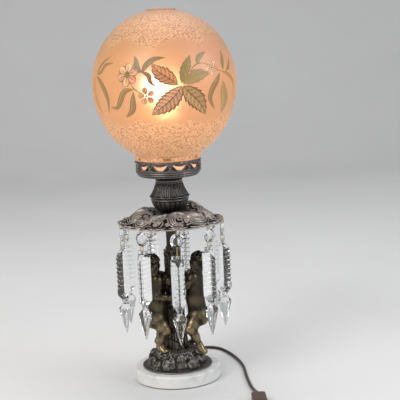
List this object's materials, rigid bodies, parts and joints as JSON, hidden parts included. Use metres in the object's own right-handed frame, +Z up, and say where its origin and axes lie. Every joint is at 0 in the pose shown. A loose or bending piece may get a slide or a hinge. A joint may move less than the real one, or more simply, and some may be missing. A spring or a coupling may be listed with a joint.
{
  "type": "parlor lamp",
  "caption": "Electric parlor lamp: painted frosted ball globe over a pierced gallery and vase, a canopy hung with cut-glass prisms, two cherubs at a tree trunk, rock mound, round marble foot.",
  "frame": {"origin": "middle of the felt's underside, on the table, on the lamp's upright axis", "axes": "+Z up along the lamp's axis; -Y is the front; the cord leaves at the back, +Y, and comes round the right side, +X"},
  "size_m": [0.2774, 0.4578, 0.6679],
  "materials": {
    "felt": "matte green felt",
    "marble": "honed white marble with faint grey veins",
    "bronzed_casting": "dark bronzed casting, rubbed to brown gold on the high places",
    "figure_bronze": "bronzed casting with golden highlights",
    "rubbed_casting": "bronzed casting rubbed pale on its scrolls",
    "brass": "satin brass",
    "steel": "zinc plated",
    "cut_glass": "clear polished cut glass",
    "frosted_globe": "frosted glass tinted peach, with a painted band of flowers",
    "bulb_glass": "frosted bulb glass",
    "cord_brown": "brown cord",
    "plug_brown": "brown moulded plastic",
    "switch_brown": "brown moulded plastic",
    "wheel_cream": "cream moulded plastic"
  },
  "bodies": {
    "lamp": {"felt_pad": "felt", "marble_base": "marble", "base_nut": "steel", "cord_bushing": "plug_brown", "rock_mound": "bronzed_casting", "tree_trunk": "bronzed_casting", "left_putto": "figure_bronze", "right_putto": "figure_bronze", "lamp_pipe": "steel", "column_tube": "bronzed_casting", "canopy": "rubbed_casting", "vase_bowl": "bronzed_casting", "vase_shoulder": "bronzed_casting", "gallery_dish": "bronzed_casting", "gallery_crown": "rubbed_casting", "lamp_socket": "brass", "cord": "cord_brown", "line_switch": "switch_brown", "cord_to_coil": "cord_brown", "cord_coil": "cord_brown", "plug": "plug_brown"},
    "globe": {"globe": "frosted_globe"},
    "bulb": {"bulb": "bulb_glass"},
    "wheel": {"switch_wheel": "wheel_cream"},
    "drop_1": {"prism_hook_1": "brass", "prism_bead_1": "cut_glass"},
    "bar_1": {"prism_link_1": "brass", "prism_bar_1": "cut_glass"},
    "drop_2": {"prism_hook_2": "brass", "prism_bead_2": "cut_glass"},
    "bar_2": {"prism_link_2": "brass", "prism_bar_2": "cut_glass"},
    "drop_3": {"prism_hook_3": "brass", "prism_bead_3": "cut_glass"},
    "bar_3": {"prism_link_3": "brass", "prism_bar_3": "cut_glass"},
    "drop_4": {"prism_hook_4": "brass", "prism_bead_4": "cut_glass"},
    "bar_4": {"prism_link_4": "brass", "prism_bar_4": "cut_glass"},
    "drop_5": {"prism_hook_5": "brass", "prism_bead_5": "cut_glass"},
    "bar_5": {"prism_link_5": "brass", "prism_bar_5": "cut_glass"},
    "drop_6": {"prism_hook_6": "brass", "prism_bead_6": "cut_glass"},
    "bar_6": {"prism_link_6": "brass", "prism_bar_6": "cut_glass"},
    "drop_7": {"prism_hook_7": "brass", "prism_bead_7": "cut_glass"},
    "bar_7": {"prism_link_7": "brass", "prism_bar_7": "cut_glass"},
    "drop_8": {"prism_hook_8": "brass", "prism_bead_8": "cut_glass"},
    "bar_8": {"prism_link_8": "brass", "prism_bar_8": "cut_glass"},
    "drop_9": {"prism_hook_9": "brass", "prism_bead_9": "cut_glass"},
    "bar_9": {"prism_link_9": "brass", "prism_bar_9": "cut_glass"}
  },
  "joints": [
    {"name": "globe_lift", "type": "slide", "parent": "lamp", "child": "globe", "axis": [0, 0, 1], "range_m": [0, 0.25]},
    {"name": "bulb_unscrew", "type": "slide", "parent": "lamp", "child": "bulb", "axis": [0, 0, 1], "range_m": [0, 0.03]},
    {"name": "switch_turn", "type": "hinge", "parent": "lamp", "child": "wheel", "pos_m": [0.141, -0.1753, 0.0084], "axis": [0, 0, 1], "continuous": true},
    {"name": "hook_swing_1", "type": "hinge", "parent": "lamp", "child": "drop_1", "pos_m": [0.00797, -0.09115, 0.291], "axis": [-0.9962, -0.0872, 0], "range_deg": [-3, 35]},
    {"name": "bar_swing_1", "type": "hinge", "parent": "drop_1", "child": "bar_1", "pos_m": [0.00797, -0.09115, 0.25768], "axis": [-0.9962, -0.0872, 0], "range_deg": [-2, 35]},
    {"name": "hook_swing_2", "type": "hinge", "parent": "lamp", "child": "drop_2", "pos_m": [0.0647, -0.0647, 0.291], "axis": [-0.7071, -0.7071, 0], "range_deg": [-3, 35]},
    {"name": "bar_swing_2", "type": "hinge", "parent": "drop_2", "child": "bar_2", "pos_m": [0.0647, -0.0647, 0.26088], "axis": [-0.7071, -0.7071, 0], "range_deg": [-2, 35]},
    {"name": "hook_swing_3", "type": "hinge", "parent": "lamp", "child": "drop_3", "pos_m": [0.09115, -0.00797, 0.291], "axis": [-0.0872, -0.9962, 0], "range_deg": [-3, 35]},
    {"name": "bar_swing_3", "type": "hinge", "parent": "drop_3", "child": "bar_3", "pos_m": [0.09115, -0.00797, 0.26088], "axis": [-0.0872, -0.9962, 0], "range_deg": [-2, 35]},
    {"name": "hook_swing_4", "type": "hinge", "parent": "lamp", "child": "drop_4", "pos_m": [0.07495, 0.05248, 0.291], "axis": [0.5736, -0.8192, 0], "range_deg": [-3, 35]},
    {"name": "bar_swing_4", "type": "hinge", "parent": "drop_4", "child": "bar_4", "pos_m": [0.07495, 0.05248, 0.26088], "axis": [0.5736, -0.8192, 0], "range_deg": [-2, 35]},
    {"name": "hook_swing_5", "type": "hinge", "parent": "lamp", "child": "drop_5", "pos_m": [0.02368, 0.08838, 0.291], "axis": [0.9659, -0.2588, 0], "range_deg": [-3, 35]},
    {"name": "bar_swing_5", "type": "hinge", "parent": "drop_5", "child": "bar_5", "pos_m": [0.02368, 0.08838, 0.26088], "axis": [0.9659, -0.2588, 0], "range_deg": [-2, 35]},
    {"name": "hook_swing_6", "type": "hinge", "parent": "lamp", "child": "drop_6", "pos_m": [-0.03867, 0.08293, 0.291], "axis": [0.9063, 0.4226, 0], "range_deg": [-3, 35]},
    {"name": "bar_swing_6", "type": "hinge", "parent": "drop_6", "child": "bar_6", "pos_m": [-0.03867, 0.08293, 0.26088], "axis": [0.9063, 0.4226, 0], "range_deg": [-2, 35]},
    {"name": "hook_swing_7", "type": "hinge", "parent": "lamp", "child": "drop_7", "pos_m": [-0.08293, 0.03867, 0.291], "axis": [0.4226, 0.9063, 0], "range_deg": [-3, 35]},
    {"name": "bar_swing_7", "type": "hinge", "parent": "drop_7", "child": "bar_7", "pos_m": [-0.08293, 0.03867, 0.26088], "axis": [0.4226, 0.9063, 0], "range_deg": [-2, 35]},
    {"name": "hook_swing_8", "type": "hinge", "parent": "lamp", "child": "drop_8", "pos_m": [-0.08838, -0.02368, 0.291], "axis": [-0.2588, 0.9659, 0], "range_deg": [-3, 35]},
    {"name": "bar_swing_8", "type": "hinge", "parent": "drop_8", "child": "bar_8", "pos_m": [-0.08838, -0.02368, 0.26088], "axis": [-0.2588, 0.9659, 0], "range_deg": [-2, 35]},
    {"name": "hook_swing_9", "type": "hinge", "parent": "lamp", "child": "drop_9", "pos_m": [-0.05248, -0.07495, 0.291], "axis": [-0.8192, 0.5736, 0], "range_deg": [-3, 35]},
    {"name": "bar_swing_9", "type": "hinge", "parent": "drop_9", "child": "bar_9", "pos_m": [-0.05248, -0.07495, 0.26088], "axis": [-0.8192, 0.5736, 0], "range_deg": [-2, 35]}
  ]
}
